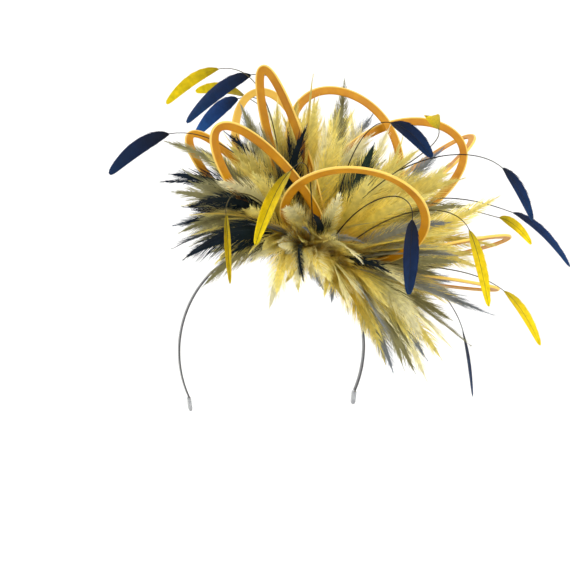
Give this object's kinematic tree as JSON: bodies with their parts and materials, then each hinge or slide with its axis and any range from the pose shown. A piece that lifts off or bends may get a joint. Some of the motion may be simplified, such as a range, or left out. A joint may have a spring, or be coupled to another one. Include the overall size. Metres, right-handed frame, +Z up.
{
  "type": "feather fascinator",
  "caption": "Headband fascinator with a ruff of pale hackle feathers, golden satin loops, and navy and yellow quills with leaf-shaped tips.",
  "frame": {"origin": "underside of the headband at its highest point, where it rests on the crown of a head", "axes": "+Z up, +X towards the ear on the trimmed side, +Y towards the far side from the picture's camera"},
  "size_m": [0.3774, 0.3044, 0.2684],
  "materials": {
    "satin_gold": "satin",
    "hackle": "soft, matte",
    "quill_navy": "satin",
    "quill_yellow": "satin",
    "band_black": "gloss",
    "tip_silver": "satin",
    "base_straw": "woven, matte"
  },
  "bodies": {
    "root": {"headband": "band_black", "band_tip_left": "tip_silver", "band_tip_right": "tip_silver", "base_disc": "base_straw", "loop_left_tall": "satin_gold", "loop_centre_round": "satin_gold", "loop_left_low": "satin_gold", "loop_right_high": "satin_gold", "loop_front_wide": "satin_gold", "loop_back_round": "satin_gold", "loop_back_right": "satin_gold", "loop_right_level": "satin_gold", "loop_right_low": "satin_gold", "loop_back_left": "satin_gold", "loop_back_low": "satin_gold", "navy_left": "quill_navy", "navy_upper_left": "quill_navy", "navy_back_left": "quill_navy", "navy_upper_right": "quill_navy", "navy_right": "quill_navy", "navy_far_right": "quill_navy", "navy_front": "quill_navy", "navy_low_right": "quill_navy", "yellow_upper_left": "quill_yellow", "yellow_back_left": "quill_yellow", "yellow_front": "quill_yellow", "yellow_front_left": "quill_yellow", "yellow_crest": "quill_yellow", "yellow_right": "quill_yellow", "yellow_far_right": "quill_yellow", "yellow_low_right": "quill_yellow", "hackle_ruff": "hackle"}
  },
  "joints": []
}
